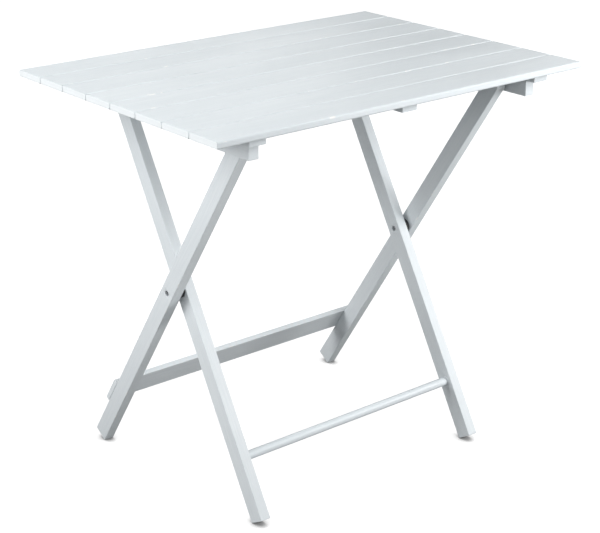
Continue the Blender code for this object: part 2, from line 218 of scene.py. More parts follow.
# %% Bar with holes
HOLE_POINTS = 32
PANEL_MARGIN = 0.003
COUNTERBORE = ((0.0, 0.0054), (0.0003, 0.0050), (0.0040, 0.0050))
RIM_PLAY, WALL_PLAY, RIM_DEPTH = 0.00025, 0.0001, 0.0003
CONE_DEPTH, CONE_SHARE = 0.0028, 0.45
LEAST_ROUNDING, MOST_ROUNDING = 0.25, 0.8                # of the bar's radius, and of its half thickness
NEARLY_ALL = 0.99                                        # drawn in this far, a ring is on the sawn end


def countersink(head_radius):
    """Circles of a screw's hole: a hair wider than the head, then a cone."""
    return ((0.0, head_radius + RIM_PLAY), (RIM_DEPTH, head_radius + WALL_PLAY),
            (CONE_DEPTH, head_radius * CONE_SHARE))


def bar_surface(stations, half_through, half_across, inset, radius, end_radius, holes=()):
    """Local points, faces, arris mark and end mark of a bar. Each hole is (flat, middle, circles):
    flat 0 looks along +through, 1 along +across, and so on round. Its panel reaches from
    middle - reach to middle + reach."""
    reaches = np.array([circles[0][1] + PANEL_MARGIN for _, _, circles in holes])
    middles = np.array([middle for _, middle, _ in holes]).reshape(-1, 3)
    edges = np.sort(np.r_[middles[:, 2] - reaches, middles[:, 2] + reaches])
    at = np.searchsorted(stations, edges)
    half_through, half_across, inset = (np.insert(v, at, v[at]) for v in (half_through, half_across, inset))
    stations = np.insert(stations, at, edges)

    corner_radius = np.minimum(np.maximum(radius - inset, LEAST_ROUNDING * radius),
                               MOST_ROUNDING * (np.minimum(half_through, half_across) - inset))
    section, on_arc = rounded_rectangle(half_through - inset, half_across - inset, corner_radius)
    points = section.shape[1]
    local = np.dstack([section, np.broadcast_to(stations[:, None], section.shape[:2])]).reshape(-1, 3)
    end = np.repeat((inset >= end_radius * NEARLY_ALL).astype(float), points)
    arris = np.maximum(np.tile(on_arc, len(stations)), np.repeat(inset > 0, points)) * (1 - end)
    quads, kept = ring_quads(len(stations), points), np.ones((len(stations) - 1) * points, bool)

    panels, bores = [], []
    for (flat, middle, circles), reach in zip(holes, reaches):
        k = int(np.argmin(np.abs(stations - (middle[2] - reach))))
        quad = k * points + (flat * CORNER_POINTS - 1) % points
        kept[quad] = False
        normal = np.array([math.cos(flat * math.pi / 2), math.sin(flat * math.pi / 2), 0.0])
        sideways = np.array([-normal[1], normal[0], 0.0])
        face = normal * (abs(normal[0]) * half_through[k] + abs(normal[1]) * half_across[k])
        centre = face + sideways * (np.asarray(middle) @ sideways) + UP_Z * middle[2]
        angle = math.radians(225) + np.arange(HOLE_POINTS) * 2 * math.pi / HOLE_POINTS
        depth, width = np.array(circles).T[:, :, None, None]
        circle = np.cos(angle)[:, None] * sideways + np.sin(angle)[:, None] * UP_Z
        bore = centre - depth * normal + width * circle
        first = len(local) + sum(len(b) for b in bores)
        bores.append(bore.reshape(-1, 3))
        panels += (ring_quads(len(circles), HOLE_POINTS) + first).tolist()
        panels.append((np.arange(HOLE_POINTS) + first + (len(circles) - 1) * HOLE_POINTS).tolist())
        quarter = HOLE_POINTS // 4
        for side in range(4):
            arc = first + (side * quarter + np.arange(quarter, -1, -1)) % HOLE_POINTS
            panels.append([int(quads[quad][side]), int(quads[quad][(side + 1) % 4]), *arc.tolist()])
    spare = np.zeros(sum(len(b) for b in bores))
    faces = quads[kept].tolist() + first_and_last(len(stations), points) + panels
    return np.vstack([local, *bores]), faces, np.r_[arris, spare], np.r_[end, spare]


def make_bar(name, size, centre, basis, radius, body, slot, stands_for, holes=(), end_radius=None):
    """A bar with two sawn ends. Size is thickness, width and length. The ends' arrises have the long
    ones' radius, unless another is given."""
    half_through, half_across, half_along = np.asarray(size) / 2
    end_radius = end_radius or radius
    bottom, bottom_inset = sawn_end(-half_along, -1, end_radius)
    top, top_inset = sawn_end(half_along, 1, end_radius)
    stations, inset = np.r_[bottom[::-1], top], np.r_[bottom_inset[::-1], top_inset]
    same = np.ones_like(stations)
    local, faces, arris, end = bar_surface(stations, half_through * same, half_across * same, inset,
                                           radius, end_radius, holes)
    return make_piece(name, centre + local @ basis, faces, body, slot, stands_for,
                      **timber_marks(local, arris, end))


# %% [markdown]
# ## The slatted top
#
# Eight thin slats lie side by side and all but touch. Their long arrises are rounded far more than
# a leg's, so a broad shallow groove runs between any two, and its far side catches the light from
# the front as a bright line. Each slat left the router a little different, so no two lines are
# equally broad. A slat takes its size and place from its solid in the frame.

# %% Slats
SLAT_ROUNDING, SLAT_END_ARRIS = (0.0026, 0.0036), 0.0009  # least and most along a slat, and at its ends
ROUTER_SEED = 8
router = np.random.default_rng(ROUTER_SEED)
slats = []
for node in named("slat_"):
    low, high, middle = box_of(node)
    slats.append(make_bar("top_" + node, (high - low)[[2, 1, 0]], middle, basis_of(UP_X, UP_Z),
                          router.uniform(*SLAT_ROUNDING), "tabletop", "top_slats", [node],
                          end_radius=SLAT_END_ARRIS))
slat_middles = np.array([box_of(node)[2][1] for node in named("slat_")])
print(len(slats), "slats, each", np.round((high - low) * 1000, 1), "mm")

# %% [markdown]
# ## Cleats and battens
#
# Three cleats cross the slats underneath. Two small screws go up through a cleat into each slat,
# one near each edge, so a slat can't cup. A batten is screwed up under each outer cleat and
# carries the hinge. The outer cleats' screws sit in the strip that the batten leaves bare.

# %% Cleats and battens with their screw holes
BAR_ARRIS = 0.0011
SLAT_SCREW_RADIUS, SCREW_RADIUS = 0.0030, 0.0038
SLAT_SCREW_SPREAD, SCREW_TO_END = 0.020, 0.012
UNDER, RAIL_BASIS = 1, basis_of(UP_Y, UP_X)              # across points down, so flat 1 is the underside

slat_screw_places, rails = [], []
for node in named("cleat_"):
    low, high, middle = box_of(node)
    screw_x = middle[0]
    if abs(middle[0]) > BAR_ARRIS:                       # the strip outside the batten
        batten = "batten_left" if middle[0] < 0 else "batten_right"
        outer_faces = [np.abs(box_of(bar)[:2])[:, 0].max() for bar in (node, batten)]
        screw_x = np.sign(middle[0]) * np.mean(outer_faces)
    screw_y = (slat_middles[:, None] + SLAT_SCREW_SPREAD * np.array([-1, 1])).ravel()
    screw_y = np.clip(screw_y, low[1] + SCREW_TO_END, high[1] - SCREW_TO_END)
    places = np.stack([screw_x + 0 * screw_y, screw_y, low[2] + 0 * screw_y], axis=1)
    slat_screw_places.append(places)
    holes = [(UNDER, (place - middle) @ RAIL_BASIS.T, countersink(SLAT_SCREW_RADIUS)) for place in places]
    rails.append(make_bar("under_" + node, (high - low)[[0, 2, 1]], middle, RAIL_BASIS, BAR_ARRIS,
                          "tabletop", "top_rails", [node], holes))
for side in ("left", "right"):
    low, high, middle = box_of("batten_" + side)
    holes = [(UNDER, (box_of(screw)[2] - middle) @ RAIL_BASIS.T, countersink(SCREW_RADIUS))
             for screw in named("batten_screw_" + side)]
    holes.sort(key=lambda hole: hole[1][2])
    rails.append(make_bar("hinge_batten_" + side, (high - low)[[0, 2, 1]], middle, RAIL_BASIS, BAR_ARRIS,
                          "tabletop", "top_rails", ["batten_" + side], holes))
slat_screw_places = np.vstack(slat_screw_places)
print(len(rails), "rails and", len(slat_screw_places), "screw holes up into the slats")

# %% [markdown]
# ## The legs
#
# A leg has one square foot, and one half-round end so that it can turn close under the slats.
# Where the legs cross, a bolt's head sits in a round counterbore. The foot is cut square, so the
# table stands on the lower arrises, and its length follows from the crossing's height.

# %% Legs
ROUND_END_STEPS, ROUND_END_TURN = 12, math.radians(86)   # the turn leaves a narrow flat at the tip
joints = {joint["name"]: np.array(joint["pos_m"]) for joint in frame["joints"]}
pivot, hinge = joints["leg_pivot"], joints["top_hinge"]
top_bar_axis = box_of("top_bar")[2]
leg_low, leg_high, _ = box_of("outer_leg_left")
LEG_THICKNESS, LEG_HALF_WIDTH = leg_high[0] - leg_low[0], leg_high[2] - hinge[2]


def make_leg(name, top_end, bored_side, body, stands_for):
    """Along the line from the crossing to top_end. The foot lies
    (height - half width * sin(lean)) / cos(lean) below the crossing. Past the top end's centre the
    half width is R * cos(t) at R * sin(t), a half circle."""
    rise = (top_end - pivot) * [0, 1, 1]
    reach = np.linalg.norm(rise)
    lean = math.atan2(abs(rise[1]), rise[2])
    foot = (pivot[2] - LEG_HALF_WIDTH * math.sin(lean)) / math.cos(lean)
    bottom, bottom_inset = sawn_end(-foot, -1, BAR_ARRIS)
    turn = np.linspace(0, ROUND_END_TURN, ROUND_END_STEPS + 1)
    stations = np.r_[bottom[::-1], reach + LEG_HALF_WIDTH * np.sin(turn)]
    inset = np.r_[bottom_inset[::-1], np.zeros_like(turn)]
    half_across = np.r_[np.full(len(bottom), LEG_HALF_WIDTH), LEG_HALF_WIDTH * np.cos(turn)]
    half_through = np.full(len(stations), LEG_THICKNESS / 2)
    local, faces, arris, end = bar_surface(stations, half_through, half_across, inset, BAR_ARRIS, BAR_ARRIS,
                                           [(0, np.zeros(3), COUNTERBORE)])
    centre = np.array([box_of(stands_for)[2][0], pivot[1], pivot[2]])
    basis = basis_of(rise / reach, UP_X * bored_side)
    return make_piece(name, centre + local @ basis, faces, body, "legs", [stands_for],
                      **timber_marks(local, arris, end))


legs = []
for side, sign in (("left", -1), ("right", 1)):
    legs.append(make_leg("rear_foot_leg_" + side, hinge, sign, "outer_frame", "outer_leg_" + side))
    legs.append(make_leg("front_foot_leg_" + side, top_bar_axis, -sign, "inner_frame",
                         "inner_leg_" + side))
print(len(legs), "legs of", round(LEG_THICKNESS * 1000, 1), "x", round(LEG_HALF_WIDTH * 2000, 1),
      "mm, crossing", round(pivot[2] * 1000), "mm above the floor")

# %% [markdown]
# ## The stretcher
#
# A thin board ties the back feet together. It lies on the legs' back faces and leans with them.
# Its box in the frame is the box of a leaning board, so its true width and thickness come out of
# two equations: height = width * cos + thickness * sin, and depth = width * sin + thickness * cos.

# %% Where the stretcher lies
outer_rise = (hinge - pivot) * [0, 1, 1]
outer_along = outer_rise / np.linalg.norm(outer_rise)
outer_back = np.cross(outer_along, -UP_X)
board_low, board_high, board_middle = box_of("stretcher")
lean_sin, lean_cos = -outer_along[1], outer_along[2]
board_width, board_thickness = np.linalg.solve([[lean_sin, lean_cos], [lean_cos, lean_sin]],
                                               (board_high - board_low)[1:])
stretcher_basis = basis_of(UP_X, outer_back)
back_face = board_middle + outer_back * board_thickness / 2
stretcher_screws = named("stretcher_screw_")
stretcher_screw_places = np.array([box_of(screw)[2] for screw in stretcher_screws])
stretcher_screw_places -= np.outer((stretcher_screw_places - back_face) @ outer_back, outer_back)
print(len(stretcher_screws), "screws go in square to the back face, along", np.round(-outer_back, 2))

# %% The board itself
stretcher = make_bar("back_stretcher", (board_thickness, board_width, board_high[0] - board_low[0]),
                     board_middle, stretcher_basis, BAR_ARRIS, "outer_frame", "stretcher", ["stretcher"],
                     [(0, (place - board_middle) @ stretcher_basis.T, countersink(SCREW_RADIUS))
                      for place in stretcher_screw_places])
print("stretcher", round(board_width * 1000, 1), "x", round(board_thickness * 1000, 1),
      "mm, back looks along", np.round(outer_back, 2))

# %% [markdown]
# ## The two dowels
#
# The lower rung and the top bar are turned dowels let into the inner legs. A dowel from a
# rounding machine is never a perfect cylinder. It wanders by a tenth of a millimetre along its
# length, and that breaks up the long highlight. The radius below carries that wander.

# %% Dowels
DOWEL_POINTS, DOWEL_STATIONS = 32, 60
DOWEL_MEAN, DOWEL_WANDER = 0.988, 0.006                  # shares of the radius
SLOW_WAVE, WINDING_WAVE = 37, 90                         # radians for each metre


def make_dowel(name, node):
    """Radius(x, angle) = r * (mean + wander * (sin(slow * x) + sin(winding * x + 2 * angle))), less
    the end's inset. It is never more than r."""
    low, high, middle = box_of(node)
    radius = (high[2] - low[2]) / 2
    bottom, bottom_inset = sawn_end(low[0], -1, BAR_ARRIS)
    top, top_inset = sawn_end(high[0], 1, BAR_ARRIS)
    length = np.linspace(low[0], high[0], DOWEL_STATIONS)[2:-2]
    along = np.r_[bottom[::-1], length, top][:, None]
    inset = np.r_[bottom_inset[::-1], np.zeros_like(length), top_inset][:, None]
    angle = np.arange(DOWEL_POINTS) * 2 * math.pi / DOWEL_POINTS
    wander = DOWEL_WANDER * (np.sin(SLOW_WAVE * along) + np.sin(WINDING_WAVE * along + 2 * angle))
    size = radius * (DOWEL_MEAN + wander) - inset
    local = np.stack([size * np.cos(angle), size * np.sin(angle), np.broadcast_to(along, size.shape)],
                     axis=-1).reshape(-1, 3)
    place = middle * [0, 1, 1] + local[:, ALONG_FIRST]
    faces = ring_quads(len(along), DOWEL_POINTS).tolist() + first_and_last(len(along), DOWEL_POINTS)
    end = np.repeat((inset > BAR_ARRIS * NEARLY_ALL).astype(float), DOWEL_POINTS)
    return make_piece(name, place, faces, "inner_frame", "dowels", [node],
                      **timber_marks(local, np.zeros(len(local)), end))


dowels = [make_dowel("front_rung", "lower_rung"), make_dowel("rear_top_bar", "top_bar")]
print("dowels", [round(dowel.dimensions.z * 1000, 1) for dowel in dowels], "mm thick")

# %% [markdown]
# ## Bolts, nuts and spacers
#
# Round hardware is turned: a profile of (height, radius) circles round an axis. A driver's hexagon
# is the same thing with a radius that depends on the angle: inner radius / cos(angle from the
# nearest flat's middle). The crossing bolts and their sleeve nuts look the same from outside. The
# hinge bolts pass through batten, spacer and leg into a hexagon nut.

# %% Turned hardware
TURNED_POINTS = 48
turned_angle = np.arange(TURNED_POINTS) * 2 * math.pi / TURNED_POINTS
HEXAGON = 1 / np.cos(turned_angle % (math.pi / 3) - math.pi / 6)


def make_turned(name, profile, base, axis, body, slot, stands_for, closed=False, hexagonal=()):
    """Points = base + height * axis + radius * (cos * side + sin * other side), from outside in.
    Circles listed as hexagonal have their radius as the hexagon's inner one."""
    height, radius = np.array(profile).T[:, :, None]
    width = radius * np.ones(TURNED_POINTS)
    width[list(hexagonal)] *= HEXAGON
    side = np.cross(axis, UP_Z)
    other = np.cross(axis, side)
    spun = width[..., None] * (np.cos(turned_angle)[:, None] * side + np.sin(turned_angle)[:, None] * other)
    place = (base + height[..., None] * axis + spun).reshape(-1, 3)
    faces = ring_quads(len(profile), TURNED_POINTS, closed)[:, ::-1].tolist()
    if not closed:
        faces += [cap[::-1] for cap in first_and_last(len(profile), TURNED_POINTS)]
    return make_piece(name, place, faces, body, slot, stands_for)


HEAD_THICKNESS, BOLT_RADIUS, SLEEVE_RADIUS = 0.0020, 0.0025, 0.0037
DRIVER_RADIUS, DRIVER_DEPTH, TIP_CHAMFER = 0.0020, 0.0012, 0.0006
NUT_BEVEL, SPACER_EASE = 0.0005, 0.0006


def bolt_profile(head, shank, length):
    """(height, radius) from the driver recess over the domed head and down the shank to a chamfered
    tip."""
    return [(-DRIVER_DEPTH, DRIVER_RADIUS * 0.9), (-DRIVER_DEPTH, DRIVER_RADIUS), (-0.0001, DRIVER_RADIUS),
            (0.0, DRIVER_RADIUS * 1.16), (0.0, head * 0.62), (-0.0002, head * 0.84), (-0.0005, head * 0.96),
            (-0.0009, head), (-HEAD_THICKNESS, head), (-HEAD_THICKNESS, shank),
            (-length + TIP_CHAMFER, shank), (-length, shank - TIP_CHAMFER)]


hardware = []
for side, sign in (("left", -1), ("right", 1)):
    for node, name, body, shank, direction in (
            ("pivot_bolt_", "crossing_bolt_", "outer_frame", BOLT_RADIUS, sign),
            ("pivot_sleeve_nut_", "crossing_nut_", "inner_frame", SLEEVE_RADIUS, -sign),
            ("hinge_bolt_", "batten_bolt_", "outer_frame", BOLT_RADIUS, sign)):
        low, high, middle = box_of(node + side)
        head = (high[2] - low[2]) / 2
        face = np.array([high[0] if direction > 0 else low[0], middle[1], middle[2]])
        hardware.append(make_turned(name + side, bolt_profile(head, shank, high[0] - low[0]), face,
                                    direction * UP_X, body, "bolts", [node + side], hexagonal=(0, 1, 2)))
    low, high, middle = box_of("hinge_nut_" + side)
    half, inner = (high[0] - low[0]) / 2, (high[2] - low[2]) / 2 * math.cos(math.pi / 6)
    hardware.append(make_turned(
        "batten_nut_" + side,
        [(half, BOLT_RADIUS), (half, inner), (half - NUT_BEVEL, inner),
         (NUT_BEVEL - half, inner), (-half, inner), (-half, BOLT_RADIUS)],
        middle, sign * UP_X, "outer_frame", "bolts", ["hinge_nut_" + side], closed=True, hexagonal=(2, 3)))
    for node, name in (("pivot_spacer_", "crossing_spacer_"), ("hinge_spacer_", "batten_spacer_")):
        low, high, middle = box_of(node + side)
        half, width = (high[0] - low[0]) / 2, (high[2] - low[2]) / 2
        eased = [(half, width - SPACER_EASE), (half - 0.3 * SPACER_EASE, width - 0.3 * SPACER_EASE),
                 (half - SPACER_EASE, width)]
        mirrored = [(-height, radius) for height, radius in eased[::-1]]
        hardware.append(make_turned(
            name + side, [(half, BOLT_RADIUS), *eased, *mirrored, (-half, BOLT_RADIUS)],
            middle, sign * UP_X, "outer_frame", "spacers", [node + side], closed=True))
print(len(hardware), "turned pieces")

# %% [markdown]
# ## Screws
#
# Sixty-odd screws with crossed heads hold the rest. All screws of a kind are one mesh: the points
# of one head are worked out once on a polar grid and broadcast to every place. The cross is a
# height: full depth where the distance to an arm's middle line is small and the radius is short.
# Each screw stops at an angle of its own, as a driver leaves it.

# %% Crossed screw heads
SCREW_RINGS = np.array([0.07, 0.16, 0.26, 0.36, 0.46, 0.55, 0.64, 0.80, 0.93, 1.00])
SCREW_CONE = np.array([[0.97, -0.10], [0.45, -0.70]])    # radius and height
SCREW_POINTS = 24
SUNK = 0.0002
ARM_HALF_WIDTH, ARM_WALL, ARM_LENGTH, ARM_END = 0.17, 0.06, 0.62, 0.09
DOME_HEIGHT, CROSS_DEPTH = 0.05, 0.34                    # like the lengths above, shares of the head's radius


def make_screws(name, places, normal, head, body, stands_for):
    """Height(r, angle) = dome * (1 - r * r) - depth * clip(arm's half width - distance to the nearest
    arm's middle) * clip(arm's length - r). Then a cone runs down from the head's edge."""
    angle = np.arange(SCREW_POINTS) * 2 * math.pi / SCREW_POINTS
    ring = SCREW_RINGS[:, None]
    u, v = ring * np.cos(angle), ring * np.sin(angle)
    arm = (np.clip((ARM_HALF_WIDTH - np.minimum(abs(u), abs(v))) / ARM_WALL, 0, 1)
           * np.clip((ARM_LENGTH - ring) / ARM_END, 0, 1))
    height = head * (DOME_HEIGHT * (1 - ring ** 2) - CROSS_DEPTH * arm)
    width = np.vstack([ring * np.ones(SCREW_POINTS), SCREW_CONE[:, :1] * np.ones(SCREW_POINTS)]) * head
    height = np.vstack([height, SCREW_CONE[:, 1:] * head * np.ones(SCREW_POINTS)])
    stop = np.arange(len(places)) * GOLDEN * 2 * math.pi
    turned = angle + stop[:, None, None]
    side = np.cross(normal, UP_X if abs(normal[0]) < 0.5 else UP_Y)
    side /= np.linalg.norm(side)
    other = np.cross(normal, side)
    spun = width[None, ..., None] * (np.cos(turned)[..., None] * side + np.sin(turned)[..., None] * other)
    points = places[:, None, None] + (height[..., None] - SUNK) * normal + spun
    rings = len(width)
    first = np.arange(len(places)) * rings * SCREW_POINTS
    quads = (ring_quads(rings, SCREW_POINTS)[:, ::-1] + first[:, None, None]).reshape(-1, 4).tolist()
    caps = [[point + int(start) for point in cap[::-1]]
            for start in first for cap in first_and_last(rings, SCREW_POINTS)]
    return make_piece(name, points.reshape(-1, 3), quads + caps, body, "screws", stands_for)


screws = [make_screws("slat_screws", slat_screw_places, -UP_Z, SLAT_SCREW_RADIUS, "tabletop", []),
          make_screws("board_screws", stretcher_screw_places, outer_back, SCREW_RADIUS, "outer_frame",
                      stretcher_screws)]
for start, name in (("batten_screw_", "batten_screws"), ("catch_screw_", "catch_screws")):
    nodes = named(start)
    places = np.array([box_of(node)[2] * [1, 1, 0] + box_of(node)[0] * [0, 0, 1] for node in nodes])
    screws.append(make_screws(name, places, -UP_Z, SCREW_RADIUS, "tabletop", nodes))
points_each = (len(SCREW_RINGS) + len(SCREW_CONE)) * SCREW_POINTS
print("screws:", {screw.name: len(screw.data.vertices) // points_each for screw in screws})

# %% [markdown]
# ## The finish
#
# The table is sprayed with a thin pale lacquer. It fills the wood but doesn't hide it: fine grain
# still shows as long shallow lines, sawn ends drink the paint and stay dull, and arrises are
# rubbed. Grain and wear appear in several finishes, so each is a node group, built once.

# %% Node helpers
def add_node(tree, kind, **settings):
    """A node with its properties set by name. The dictionary sockets sets its inputs' values, each by
    the input's name."""
    made, sockets = tree.nodes.new(kind), settings.pop("sockets", {})
    for key, value in settings.items():
        setattr(made, key, value)
    for socket, value in sockets.items():
        made.inputs[socket].default_value = value
    return made


def new_group(name, inputs, outputs):
    """A shader node group with sockets given as (name, kind, value), and its input and output nodes."""
    tree = bpy.data.node_groups.new(name, "ShaderNodeTree")
    for socket, kind, value in inputs:
        made = tree.interface.new_socket(socket, in_out="INPUT", socket_type="NodeSocket" + kind)
        if value is not None:
            made.default_value = value
    for socket, kind in outputs:
        tree.interface.new_socket(socket, in_out="OUTPUT", socket_type="NodeSocket" + kind)
    return tree, tree.nodes.new("NodeGroupInput"), tree.nodes.new("NodeGroupOutput")


def stretched_noise(tree, position, stretch, detail, roughness=0.55, distortion=0.0):
    """Noise on position * stretch, which draws the pattern out along the axis with the smallest number."""
    mapped = add_node(tree, "ShaderNodeVectorMath", operation="MULTIPLY")
    mapped.inputs[1].default_value = stretch
    noise = add_node(tree, "ShaderNodeTexNoise", sockets={
        "Scale": 1.0, "Detail": detail, "Roughness": roughness, "Distortion": distortion})
    tree.links.new(position, mapped.inputs[0])
    tree.links.new(mapped.outputs[0], noise.inputs["Vector"])
    return noise.outputs["Fac"]


def band(tree, value, low, high, to_low=0.0, to_high=1.0):
    """Smooth step of value from (low, high) to (to_low, to_high)."""
    made = add_node(tree, "ShaderNodeMapRange", interpolation_type="SMOOTHSTEP",
                    sockets={"From Min": low, "From Max": high, "To Min": to_low, "To Max": to_high})
    tree.links.new(value, made.inputs["Value"])
    return made.outputs["Result"]


def arithmetic(tree, operation, first, second, third=None):
    """One Math node. Each operand is a socket or a number."""
    made = add_node(tree, "ShaderNodeMath", operation=operation)
    for index, value in enumerate(v for v in (first, second, third) if v is not None):
        if isinstance(value, (int, float)):
            made.inputs[index].default_value = value
        else:
            tree.links.new(value, made.inputs[index])
    return made.outputs[0]


# %% [markdown]
# ### Grain under paint
#
# Softwood is made of long fibres, so its pattern changes fast across a board and slowly along it.
# Three stretched noises stand for three things: the broad figure of the growth rings, the fibres,
# and short open pores. On a sawn end the same fibres are cut across and show as dots.

# %% Grain group
grain_group, grain_in, grain_out = new_group(
    "painted_grain", [("Position", "Vector", None), ("End", "Float", 0.0)],
    [("Figure", "Float"), ("Fibres", "Float"), ("Height", "Float")])
position, on_end = grain_in.outputs["Position"], grain_in.outputs["End"]
figure = stretched_noise(grain_group, position, (2.2, 60, 60), 3, 0.5, 0.6)
fibres = stretched_noise(grain_group, position, (14, 620, 620), 5, 0.65)
pores = band(grain_group, stretched_noise(grain_group, position, (55, 900, 900), 2), 0.60, 0.72)
dots = stretched_noise(grain_group, position, (900, 900, 900), 2)
side_height = arithmetic(grain_group, "MULTIPLY_ADD", pores, -0.5,
                         arithmetic(grain_group, "MULTIPLY_ADD", fibres, 0.6,
                                    arithmetic(grain_group, "MULTIPLY", figure, 0.5)))
mixed = add_node(grain_group, "ShaderNodeMix", data_type="FLOAT")
for socket, value in (("Factor", on_end), ("A", side_height), ("B", dots)):
    grain_group.links.new(value, mixed.inputs[socket])
for socket, value in (("Figure", figure), ("Fibres", fibres), ("Height", mixed.outputs["Result"])):
    grain_group.links.new(value, grain_out.inputs[socket])
print("grain group:", len(grain_group.nodes), "nodes")

# %% [markdown]
# ### Rubbed arrises and smudges
#
# Paint is thinnest on an arris, and carrying the table rubs it there first. The arris mark says
# where, and a coarse noise breaks it into patches. A second, larger noise stands for the smears
# that hands and a wiping cloth leave. It only changes how shiny the lacquer is.

# %% Wear group
wear_group, wear_in, wear_out = new_group(
    "handling_wear", [("Position", "Vector", None), ("Arris", "Float", 0.0), ("Amount", "Float", 0.5)],
    [("Rubbed", "Float"), ("Smear", "Float")])
patches = stretched_noise(wear_group, wear_in.outputs["Position"], (38, 90, 90), 5, 0.6)
threshold = arithmetic(wear_group, "SUBTRACT", 0.75,
                       arithmetic(wear_group, "MULTIPLY", wear_in.outputs["Amount"], 0.3))
over = arithmetic(wear_group, "SUBTRACT", patches, threshold)
rubbed = arithmetic(wear_group, "MULTIPLY", band(wear_group, over, 0.0, 0.06), wear_in.outputs["Arris"])
smears = stretched_noise(wear_group, wear_in.outputs["Position"], (4, 16, 16), 4)
smear = band(wear_group, smears, 0.35, 0.7)
wear_group.links.new(rubbed, wear_out.inputs["Rubbed"])
wear_group.links.new(smear, wear_out.inputs["Smear"])
print("wear group:", len(wear_group.nodes), "nodes")

# %% [markdown]
# ### The lacquer
#
# One recipe serves slats, bars and dowels with its own numbers. The colour runs between a light
# and a deep tone with the fibres, and a piece's own tone shifts it a little, because planks take
# paint differently. Rubbed spots go to the undercoat. The slats' sawn ends get the whitest colour,
# which is painted light: it stands in for the strong light falling on the table's end faces.
# Everything that shines or doesn't is in Roughness, and the grain's height goes through one Bump node.

# %% Lacquer recipe
def mix_colours(tree, factor, first, second):
    """Colour mix. Each colour is a socket or an (r, g, b) triple."""
    made = add_node(tree, "ShaderNodeMix", data_type="RGBA")
    tree.links.new(factor, made.inputs["Factor"])
    for socket, value in ((6, first), (7, second)):
        if isinstance(value, tuple):
            made.inputs[socket].default_value = (*value, 1.0)
        else:
            tree.links.new(value, made.inputs[socket])
    return made.outputs[2]


def new_material(name):
    """A material, its node tree and the shader in it."""
    material = bpy.data.materials.new(name)
    material.use_nodes = True
    return material, material.node_tree, material.node_tree.nodes["Principled BSDF"]


def drive(tree, shader, colour, roughness, height, strength, distance):
    """Colour and roughness go straight into the shader, and the height through one Bump node."""
    bump = add_node(tree, "ShaderNodeBump", sockets={"Strength": strength, "Distance": distance})
    for value, socket in ((height, bump.inputs["Height"]), (colour, shader.inputs["Base Color"]),
                          (roughness, shader.inputs["Roughness"]),
                          (bump.outputs["Normal"], shader.inputs["Normal"])):
        tree.links.new(value, socket)


UNDERCOAT = (0.86, 0.87, 0.86)
FIGURE_DEPTH, TONE_DEPTH, END_TONE_AND_LIGHT = 0.45, 0.30, 0.75   # how far each can shift the colour
SMEAR_DULLING, END_DULLING = 0.10, 0.2                   # added to Roughness


def lacquer(name, light, deep, sawn, wear, shine, relief, turn=None):
    """Lacquer over grain. Its position is the wood mark. A piece without marks is given a turn
    instead, which lays the X axis of its Object coordinates along the grain."""
    material, tree, shader = new_material(name)
    if turn is None:
        marks = {mark: add_node(tree, "ShaderNodeAttribute", attribute_name=mark)
                 for mark in ("wood", "arris", "end", "tone")}
        place = marks["wood"].outputs["Vector"]
    else:
        mapping = add_node(tree, "ShaderNodeMapping", sockets={"Rotation": turn})
        tree.links.new(add_node(tree, "ShaderNodeTexCoord").outputs["Object"], mapping.inputs["Vector"])
        place = mapping.outputs["Vector"]
    grain = add_node(tree, "ShaderNodeGroup", node_tree=grain_group)
    rub = add_node(tree, "ShaderNodeGroup", node_tree=wear_group, sockets={"Amount": wear})
    for group in (grain, rub):
        tree.links.new(place, group.inputs["Position"])
    colour = mix_colours(tree, band(tree, grain.outputs["Fibres"], 0.38, 0.66), light, deep)
    figure_share = band(tree, grain.outputs["Figure"], 0.35, 0.70, 0.0, FIGURE_DEPTH)
    colour = mix_colours(tree, figure_share, colour, deep)
    roughness = band(tree, rub.outputs["Smear"], 0.0, 1.0, shine, shine + SMEAR_DULLING)
    if turn is None:
        arris, end, tone = (marks[mark].outputs["Fac"] for mark in ("arris", "end", "tone"))
        tree.links.new(end, grain.inputs["End"])
        tree.links.new(arris, rub.inputs["Arris"])
        colour = mix_colours(tree, arithmetic(tree, "MULTIPLY", tone, TONE_DEPTH), colour, deep)
        # For the slats this whiter end colour is painted light, standing in for the light on the end faces.
        colour = mix_colours(tree, arithmetic(tree, "MULTIPLY", end, END_TONE_AND_LIGHT), colour, sawn)
        colour = mix_colours(tree, rub.outputs["Rubbed"], colour, UNDERCOAT)
        roughness = arithmetic(tree, "MULTIPLY_ADD", end, END_DULLING, roughness)
    drive(tree, shader, colour, roughness, grain.outputs["Height"], 1.0, relief)
    return material


def paint_on(pieces, material):
    """The material becomes each piece's only one."""
    for piece in pieces:
        piece.data.materials.clear()
        piece.data.materials.append(material)


BAR_END = (0.70, 0.745, 0.77)
# The slats' third colour, for their ends, is whiter: painted light for the strong light on the table's end.
slat_lacquer = lacquer("slat_lacquer", (0.745, 0.792, 0.815), (0.690, 0.742, 0.770), (0.84, 0.875, 0.89),
                       wear=0.45, shine=0.42, relief=0.00010)
bar_lacquer = lacquer("bar_lacquer", (0.760, 0.800, 0.822), (0.700, 0.748, 0.775), BAR_END,
                      wear=0.5, shine=0.44, relief=0.00012)
dowel_lacquer = lacquer("dowel_lacquer", (0.750, 0.795, 0.820), (0.690, 0.742, 0.770), BAR_END,
                        wear=0.3, shine=0.40, relief=0.00010)
paint_on(slats, slat_lacquer)
paint_on(rails + legs + [stretcher], bar_lacquer)
paint_on(dowels, dowel_lacquer)
print("lacquered", len(slats) + len(rails) + len(legs) + 1 + len(dowels), "pieces")

# %% [markdown]
# ### The catches
#
# The two catches under the slats keep their own solids, whose notch and screw holes are already
# right. They have no marks on their points, so their lacquer reads Object coordinates. A Mapping
# node turns those by a quarter, which lays the grain along the depth of the table.

# %% Catch finish
catch_lacquer = lacquer("catch_lacquer", (0.750, 0.792, 0.815), (0.690, 0.740, 0.768), None,
                        wear=0.0, shine=0.46, relief=0.00012, turn=(0, 0, math.pi / 2))
for node in named("bar_catch_"):
    catch = frame["nodes"][node]
    for material_slot in catch.material_slots:
        material_slot.material = catch_lacquer
print("catches:", named("bar_catch_"))
